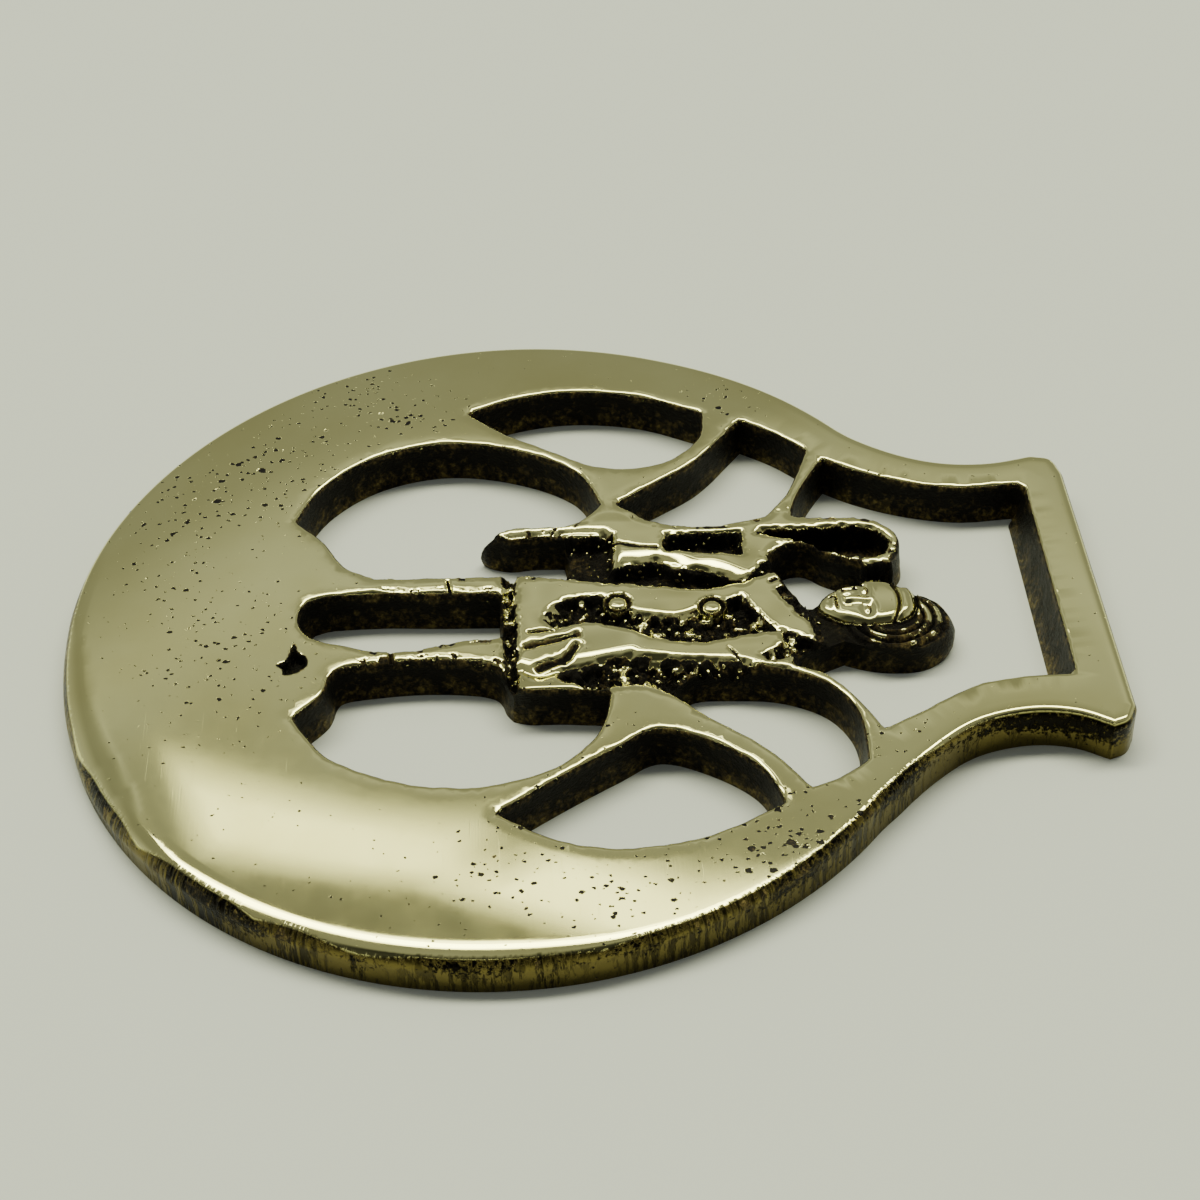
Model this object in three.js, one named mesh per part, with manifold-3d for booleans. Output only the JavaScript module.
// A cast horse brass that lies on its flat back: a crescent with a strap hanger, and inside it
// a carter in a buttoned coat who holds a whip with its lash in a loop. It is one casting.
// Millimetres, +Z up out of the polished front, +Y towards the hanger. The drawing's zero is the
// centre of the crescent's circle, and the last lines move it to the middle of the outline.
// Left and right are the viewer's, with the hanger at the top.
import * as THREE from 'three';
import { mergeVertices } from 'three/addons/utils/BufferGeometryUtils.js';
import Module from 'manifold-3d';

const wasm = await Module();
wasm.setup();

// Driving dimensions

const thickness = 4;
const crescentRadius = 38;
const leftShoulder = THREE.MathUtils.degToRad(128.4);     // where the necks leave the circle
const rightShoulder = THREE.MathUtils.degToRad(50.1);
const hangerTop = 50.9;
const hangerHalf = 16.4;                                  // half of the hanger's width at its top
const neckHalf = 15.9;                                    // half of its width at the neck
const strapBarBottom = 46.4;
const windowHalf = 11.8;                                  // half of the strap window's width

// The crescent's front is level in the middle and swells down to the rim. The rim is rounded over,
// and its lower half is worn rounder than the rest.
const crown = { start: 22, fall: 0.55, power: 2.4, fadeFrom: 14, fadeTo: 34 };
const rim = { width: 1.3, fall: 0.45, wornWidth: 2.1, wornFall: 0.7, wornFrom: 8, wornTo: -20 };
const ringInsets = [0, 0.45, 1.2, 2.1, 5, 8.5, 12];
const hangerMiddle = 41;                                  // height of the middle of the hanger

// Openings narrow a little towards the back, and every cut edge is eased.
const draft = 0.3;
const easedDepth = 0.4;
const easedWidth = 0.35;
const clearance = 1;                                      // how far a cutter stands out of the brass

// Heights above the back of the surfaces that lie lower than the polished front
const levels = {
  loopFloor: 1.2, groove: 2, web: 2.2, armRecess: 2.4, neck: 2.7, hem: 2.7, coatOpening: 3, hair: 3.5, line: 3.5,
};
const lineWidth = 0.5;                                    // grooves cut as single lines
const buttonRadius = 1.2;

const stepsPerSpan = 3;

// Curves and outlines

// One smooth stretch through a few points; two points make a straight line.
function run(...points) {
  const vectors = points.map(([x, y]) => new THREE.Vector3(x, y, 0));
  if (vectors.length === 2) return vectors;
  return new THREE.CatmullRomCurve3(vectors, false, 'centripetal').getPoints((points.length - 1) * stepsPerSpan);
}

function arc(radius, from, to, steps, centre = [0, 0]) {
  return Array.from({ length: steps + 1 }, (_, i) => {
    const angle = from + (to - from) * i / steps;
    return new THREE.Vector3(centre[0] + radius * Math.cos(angle), centre[1] + radius * Math.sin(angle), 0);
  });
}

// A closed outline of stretches that meet at corners, always counterclockwise.
function outline(...stretches) {
  const points = stretches.flatMap((stretch) => stretch.slice(0, -1)).map((p) => new THREE.Vector2(p.x, p.y));
  return THREE.ShapeUtils.area(points) < 0 ? points.reverse() : points;
}

// A closed outline with no corner.
function blob(...points) {
  const vectors = points.map(([x, y]) => new THREE.Vector3(x, y, 0));
  const curve = new THREE.CatmullRomCurve3(vectors, true, 'centripetal');
  return outline(curve.getPoints(points.length * stepsPerSpan));
}

function circle(centre, radius, steps = 16) {
  return outline(arc(radius, 0, 2 * Math.PI, steps, centre));
}

// A narrow outline along a line, `width` wide in the middle and pointed at both ends.
function stroke(width, ...points) {
  const spine = run(...points);
  const sides = [1, -1].map((side) => spine.map((p, i) => {
    const before = spine[Math.max(i - 1, 0)];
    const after = spine[Math.min(i + 1, spine.length - 1)];
    const across = new THREE.Vector3(before.y - after.y, after.x - before.x, 0).normalize();
    const share = i / (spine.length - 1);
    const half = side * width / 2 * Math.sqrt(Math.sin(Math.PI * THREE.MathUtils.clamp(share, 0.02, 0.98)));
    return p.clone().addScaledVector(across, half);
  }));
  return outline([...sides[0], ...sides[1].reverse(), sides[0][0]]);
}

// Solids

function solid(geometry) {
  const merged = mergeVertices(geometry, 1e-4);
  return new wasm.Manifold(new wasm.Mesh({
    numProp: 3,
    vertProperties: merged.attributes.position.array,
    triVerts: new Uint32Array(merged.index.array),
  }));
}

function closedGeometry(positions, triangles) {
  return new THREE.BufferGeometry()
    .setAttribute('position', new THREE.Float32BufferAttribute(positions, 3))
    .setIndex(triangles);
}

// The outline moved outwards by `distance`, with sharp corners kept short.
function spread(points, distance) {
  return points.map((p, i) => {
    const before = points.at(i - 1);
    const after = points[(i + 1) % points.length];
    const first = new THREE.Vector2(p.y - before.y, before.x - p.x).normalize();
    const second = new THREE.Vector2(after.y - p.y, p.x - after.x).normalize();
    const middle = first.clone().add(second);
    const stretch = Math.min(2 / Math.max(middle.lengthSq(), 1e-6), 1.1);
    return p.clone().addScaledVector(middle, distance * stretch);
  });
}

// A closed solid through copies of one outline; each level is [height, spread].
function loft(points, levels) {
  const count = points.length;
  const positions = levels.flatMap(([z, distance]) => spread(points, distance).flatMap((p) => [p.x, p.y, z]));
  const triangles = [];
  for (let level = 0; level < levels.length - 1; level++) {
    for (let i = 0; i < count; i++) {
      const a = level * count + i;
      const b = level * count + (i + 1) % count;
      triangles.push(a, b, b + count, a, b + count, a + count);
    }
  }
  const last = (levels.length - 1) * count;
  for (const [a, b, c] of THREE.ShapeUtils.triangulateShape(points, [])) {
    triangles.push(c, b, a, last + a, last + b, last + c);
  }
  return solid(closedGeometry(positions, triangles));
}

// What cutting takes away down to `floor`: walls that narrow by `taper`, eased where they meet the front.
function cutter(points, floor, taper = 0, eased = easedWidth) {
  return loft(points, [
    [floor, -taper], [thickness - easedDepth, 0], [thickness, eased], [thickness + clearance, eased],
  ]);
}

// A raised form that stands on the back's level, with a front edge rounded over.
function raised(points, top, round) {
  return loft(points, [[0, 0], [top - round, 0], [top - 0.3 * round, -0.3 * round], [top, -round]]);
}

// The plate: the outer outline under its swelling front

function frontHeight(x, y) {
  const reach = Math.max(Math.hypot(x, y) - crown.start, 0) / (crescentRadius - crown.start);
  const fade = 1 - THREE.MathUtils.smoothstep(y, crown.fadeFrom, crown.fadeTo);
  return thickness - crown.fall * fade * Math.min(reach, 1) ** crown.power;
}

function rimRounding(y, inset) {
  const wear = THREE.MathUtils.smoothstep(-y, -rim.wornFrom, -rim.wornTo);
  const width = THREE.MathUtils.lerp(rim.width, rim.wornWidth, wear);
  const fall = THREE.MathUtils.lerp(rim.fall, rim.wornFall, wear);
  return fall * Math.max(1 - inset / width, 0) ** 2;
}

// A point of the edge moved in by `inset`, towards the middle of the crescent or of the hanger.
function drawnIn(p, inset) {
  const middle = new THREE.Vector2(0, hangerMiddle * THREE.MathUtils.smoothstep(p.y, 20, 46));
  const way = middle.sub(p);
  return p.clone().addScaledVector(way, inset / way.length());
}

function plate() {
  const edge = outline(
    arc(crescentRadius, rightShoulder, leftShoulder - 2 * Math.PI, 96),
    run([-23.6, 29.8], [-20.6, 32.3], [-17.7, 36.3], [-neckHalf - 0.3, 40], [-neckHalf + 0.1, 44], [-hangerHalf, 48]),
    run([-hangerHalf, 48], [-15.8, 49.8], [-13.6, hangerTop - 0.4]),
    run([-13.6, hangerTop - 0.4], [hangerHalf - 0.4, hangerTop]),
    run([hangerHalf - 0.4, hangerTop], [17.6, 50], [18.2, 48.6]),
    run([18.2, 48.6], [16.7, 46], [neckHalf + 0.2, 42.5], [17, 38], [19.6, 34.1], [24.4, 29.2]),
  );
  const count = edge.length;
  const positions = edge.flatMap((p) => [p.x, p.y, 0]);
  let ring = edge;
  for (const inset of ringInsets) {
    ring = edge.map((p) => drawnIn(p, inset));
    positions.push(...ring.flatMap((p) => [p.x, p.y, frontHeight(p.x, p.y) - rimRounding(p.y, inset)]));
  }
  const triangles = [];
  for (let level = 0; level < ringInsets.length; level++) {
    for (let i = 0; i < count; i++) {
      const a = level * count + i;
      const b = level * count + (i + 1) % count;
      triangles.push(a, b, b + count, a, b + count, a + count);
    }
  }
  const last = ringInsets.length * count;
  for (const [a, b, c] of THREE.ShapeUtils.triangulateShape(edge, [])) triangles.push(c, b, a);
  for (const [a, b, c] of THREE.ShapeUtils.triangulateShape(ring, [])) triangles.push(last + a, last + b, last + c);
  return solid(closedGeometry(positions, triangles));
}

// Openings that go right through

// The space for the strap goes around the head, which is put back afterwards with its neck.
const strapWindow = outline(
  run([-windowHalf, strapBarBottom], [windowHalf - 0.5, strapBarBottom]),
  run([windowHalf - 0.5, strapBarBottom], [windowHalf - 0.2, strapBarBottom - 0.4]),
  run([windowHalf - 0.2, strapBarBottom - 0.4], [11.5, 42], [12.3, 38], [14.6, 33.8], [16.3, 30.4]),
  run([16.3, 30.4], [13.5, 29.1], [10.4, 27], [8.3, 24.3]),
  run([8.3, 24.3], [5, 25.2], [1.2, 25.6], [-2, 24.3], [-4.8, 23.4]),
  run([-4.8, 23.4], [-5.8, 24.6], [-5.9, 26.2], [-4.5, 27.9], [-3.3, 30.4], [-2.9, 32.6], [-4.6, 34.6],
    [-7.4, 34.7], [-9.4, 32.6], [-10, 29.2], [-10.4, 26]),
  run([-10.4, 26], [-12, 26.4], [-15, 27.9], [-17.2, 29.3]),
  run([-17.2, 29.3], [-15.5, 31.6], [-13.3, 36], [-windowHalf - 0.2, 41], [-windowHalf - 0.3, strapBarBottom - 0.4]),
  run([-windowHalf - 0.3, strapBarBottom - 0.4], [-windowHalf, strapBarBottom]),
);

const openings = {
  leftTop: outline(
    run([-24, 22.2], [-21.7, 25.2], [-19, 27.8]),
    run([-19, 27.8], [-16, 26.7], [-12.6, 25.1], [-10.4, 23.2]),
    run([-10.4, 23.2], [-9.8, 19.6], [-9.9, 15.6], [-11, 12.7], [-13, 10.2]),
    run([-13, 10.2], [-15.2, 13.4], [-18.2, 17.6], [-24, 22.2]),
  ),
  leftLeaf: outline(
    run([-27.3, -2.9], [-24.2, 0.3], [-21, 4.8], [-18.3, 9.4], [-18.5, 14.6], [-21.5, 18], [-25.4, 18.8]),
    run([-25.4, 18.8], [-28.4, 13.2], [-29.7, 6.5], [-28.9, 0.8], [-27.3, -2.9]),
  ),
  leftOval: outline(                                      // it leaves the butt of the whip standing
    run([-13.1, 8.7], [-17.6, 6.8], [-21.2, 1.6], [-22.9, -5.4], [-21.3, -11.9], [-17.4, -16.4], [-13.2, -18.5]),
    run([-13.2, -18.5], [-10.4, -16], [-6.6, -13.7], [-5.3, -10.4], [-4.9, -4.6], [-4.6, 0.9], [-4.1, 4.2]),
    run([-4.1, 4.2], [-6.2, 5.6], [-9.1, 5.4]),
    run([-9.1, 5.4], [-9.3, 2.6], [-9.2, 0.3], [-10, -0.9], [-10.8, 0.3], [-10.9, 3.4], [-11.1, 6.6], [-13.1, 8.7]),
  ),
  betweenLegs: outline(
    run([-2, -0.5], [-2.4, -6], [-2.9, -12], [-2.4, -17], [0, -17.7], [1.9, -16.6], [3.6, -12], [4, -8.4],
      [3.2, -3.8], [3.1, -0.5]),
    run([3.1, -0.5], [-2, -0.5]),
  ),
  rightOval: outline(
    run([10.7, 8.4], [15, 7.3], [18.6, 3.8], [20.3, -2], [19.5, -8.4], [16, -14.8], [11.5, -17.7]),
    run([11.5, -17.7], [9, -15.4], [6.4, -14.5], [5.8, -11.6], [5.8, -5.6], [7, -0.9], [9.6, 0.4], [10.2, 4.5],
      [10.7, 8.4]),
  ),
  rightLeaf: outline(
    run([23.4, -1.1], [26.4, 3.4], [27.7, 9], [26.7, 15.6], [24, 21.4]),
    run([24, 21.4], [20.4, 20], [17.2, 16.4], [15.4, 12], [17.2, 8.6], [20, 4], [23.4, -1.1]),
  ),
  rightTop: outline(
    run([20, 28.5], [21.6, 26], [22.5, 23.8]),
    run([22.5, 23.8], [18.4, 21], [14.6, 16.8], [11, 13.2]),
    run([11, 13.2], [8.8, 15], [8.7, 19], [9.4, 23], [11.6, 26.6], [15, 28.4], [20, 28.5]),
  ),
};

// Carving that stops inside the brass

const carvings = [
  { name: 'inside of the lash\'s loop', floor: levels.loopFloor, shape: blob(
    [-8.4, 23], [-7.7, 22.2], [-7.1, 23.4], [-6.6, 26.2], [-4.8, 28.9], [-4.1, 32], [-5.6, 34], [-7.8, 33.4],
    [-8.5, 30.4], [-8.6, 27], [-8.3, 25],
  ) },
  { name: 'between the left sleeve and the coat', floor: levels.groove, shape: outline(
    run([-2.2, 20.4], [-3.8, 17.4], [-4.3, 15], [-5.5, 13.2]),
    run([-5.5, 13.2], [-5.1, 11.4], [-5.1, 9.3]),
    run([-5.1, 9.3], [-8.9, 9.6]),
    run([-8.9, 9.6], [-9.2, 4.6]),
    run([-9.2, 4.6], [-4, 3.6]),
    run([-4, 3.6], [-2.8, 9], [-1.7, 14.6], [-1.5, 18.6], [-2.2, 20.4]),
  ) },
  { name: 'between the stick and the sleeve', floor: levels.web, shape: outline(
    run([-8.4, 20.9], [-8.5, 14.3]),
    run([-8.5, 14.3], [-7.5, 13.9], [-6.7, 14.3]),
    run([-6.7, 14.3], [-6.1, 17], [-5.5, 20.8]),
    run([-5.5, 20.8], [-8.4, 20.9]),
  ) },
  { name: 'behind the collar', floor: levels.neck, shape: outline(
    run([-3.1, 23.9], [-1.9, 20.6]),
    run([-1.9, 20.6], [-4, 22.4]),
    run([-4, 22.4], [-5.2, 24.2]),
    run([-5.2, 24.2], [-3.1, 23.9]),
  ) },
  { name: 'hem of the coat', floor: levels.hem, shape: outline(
    run([-5.4, 0.9], [9.9, 0.9]),
    run([9.9, 0.9], [9.9, -0.3]),
    run([9.9, -0.3], [-5.4, -0.3]),
    run([-5.4, -0.3], [-5.4, 0.9]),
  ) },
  { name: 'where the coat falls open', floor: levels.coatOpening, shape: outline(
    run([0, 20.2], [2.6, 21.6], [4.6, 22.8]),
    run([4.6, 22.8], [4.9, 19], [5.3, 16.4], [4.5, 12.8], [2.8, 9.4], [2, 6.4], [2.8, 4.1]),
    run([2.8, 4.1], [1.2, 3.3], [-0.7, 5], [-1, 8.2], [1.3, 11], [2, 14.4], [1.3, 16.4], [0, 20.2]),
  ) },
  { name: 'right of the hanging arm', floor: levels.armRecess, shape: outline(
    run([11.2, 13], [8.8, 15.2], [7.7, 13], [7, 10], [7, 6.6], [8.6, 5], [10.5, 5.6]),
    run([10.5, 5.6], [11, 8.6], [10.7, 10.8], [11.2, 13]),
  ) },
];

const lines = [
  { name: 'first finger', shape: stroke(lineWidth, [3.5, 5.9], [4.2, 4], [4.7, 1.6]) },
  { name: 'second finger', shape: stroke(1.5 * lineWidth, [4.8, 5.8], [6.2, 4.9], [7.1, 2.7]) },
  { name: 'left boot top', shape: stroke(lineWidth, [-5.4, -5], [-3.4, -4.9], [-1.6, -4.8]) },
  { name: 'right boot top', shape: stroke(lineWidth, [3.4, -10], [5, -9.8], [6.6, -9.7]) },
  { name: 'left cuff', shape: stroke(lineWidth, [-6.9, 13.6], [-7.2, 11.6], [-8, 9.3]) },
];

// Figure: what stands in the strap window, and the marks on it

const faceAxis = 1.7;                                     // the face is centred on this line
const chin = 26.4;
const headTop = 35.3;
const faceHalf = 2.9;
const eyeLine = (chin + headTop) / 2;                     // eyes sit halfway up a head
const eyeOffset = 0.42 * faceHalf;
const hairline = 33.6;
const featureWidth = 0.4;

function head() {
  const widest = eyeLine + 0.9;
  const side = (sign) => [
    [faceAxis + sign * 0.45 * faceHalf, chin + 0.5], [faceAxis + sign * 0.82 * faceHalf, chin + 2.3],
    [faceAxis + sign * faceHalf, widest], [faceAxis + sign * 0.7 * faceHalf, headTop - 0.9],
  ];
  const face = blob([faceAxis, chin], ...side(1), [faceAxis, headTop], ...side(-1).reverse());
  const hair = blob(
    [-0.5, 33.4], [0.4, 36.4], [2.6, 37.8], [5, 37.4], [6.6, 35.4], [6.8, 32.6], [6, 29.6], [4.4, 27.4], [2, 30],
  );
  const neck = outline(
    run([0.4, 24.6], [1, 27.4]),
    run([1, 27.4], [5.4, 28.6]),
    run([5.4, 28.6], [7.4, 24]),
    run([7.4, 24], [0.4, 24.6]),
  );
  return raised(face, thickness, 0.9).add(raised(hair, levels.hair, 0.9)).add(raised(neck, levels.neck, 0.4));
}

// The loop of the lash is cast on to the side of the head.
function bridge() {
  return raised(outline(
    run([-4, 30.8], [-0.4, 30.2]),
    run([-0.4, 30.2], [-0.4, 33.8]),
    run([-0.4, 33.8], [-3.6, 34]),
    run([-3.6, 34], [-4, 30.8]),
  ), levels.neck, 0.4);
}

// Calm, plain features: two eyes with lids, the sides of the nose, a mouth and the hairline.
function features() {
  const eyes = [-1, 1].map((side) => {
    const x = faceAxis + side * eyeOffset;
    return stroke(featureWidth, [x - 0.62, eyeLine], [x, eyeLine + 0.2], [x + 0.62, eyeLine]);
  });
  const nose = [-1, 1].map((side) => {
    const x = faceAxis + side * 0.42;
    return stroke(0.7 * featureWidth, [faceAxis + side * 0.3, eyeLine - 0.4], [x, eyeLine - 1.7]);
  });
  const mouth = stroke(featureWidth, [faceAxis - 0.85, chin + 1.85], [faceAxis, chin + 1.75], [faceAxis + 0.85, chin + 1.85]);
  const brow = stroke(featureWidth, [-1.1, hairline - 0.7], [faceAxis, hairline], [4.4, hairline - 0.7]);
  return [...eyes, ...nose, mouth, brow];
}

// Locks that fan out over the top of the head
function locks() {
  const centre = [2.6, 33.2];
  return [75, 50, 25, 0, -25].map((degrees) => {
    const angle = THREE.MathUtils.degToRad(degrees);
    const at = (reach) => [centre[0] + reach * Math.cos(angle), centre[1] + reach * Math.sin(angle)];
    return stroke(featureWidth, at(2.7), at(4.7));
  });
}

// A button is what a ring-shaped groove leaves standing.
function buttonGroove(centre) {
  const ring = cutter(circle(centre, buttonRadius), levels.line, 0, 0.1);
  return ring.subtract(loft(circle(centre, 0.65 * buttonRadius), [[0, 0], [thickness, 0], [2 * thickness, 0]]));
}

// The casting, put together

function casting() {
  let brass = plate().subtract(cutter(strapWindow, -clearance));
  for (const shape of Object.values(openings)) brass = brass.subtract(cutter(shape, -clearance, draft));
  for (const { floor, shape } of carvings) brass = brass.subtract(cutter(shape, floor));
  brass = brass.add(bridge()).add(head());
  for (const { shape } of lines) brass = brass.subtract(cutter(shape, levels.line, 0, 0.1));
  for (const shape of features()) brass = brass.subtract(cutter(shape, levels.line, 0, 0.1));
  for (const shape of locks()) brass = brass.subtract(cutter(shape, levels.hair - 0.6, 0, 0.1));
  for (const centre of [[1.1, 17.6], [0, 9.6]]) brass = brass.subtract(buttonGroove(centre));
  return brass;
}

const mesh = casting().getMesh();
const geometry = closedGeometry(Array.from(mesh.vertProperties), Array.from(mesh.triVerts));
const brass = new THREE.Mesh(geometry, new THREE.MeshStandardMaterial({
  color: 0xc8bd8c, roughness: 0.3, metalness: 1,
}));
brass.name = 'horse_brass';
brass.position.y = (crescentRadius - hangerTop) / 2;

const part = new THREE.Group();
part.add(brass);
export default part;
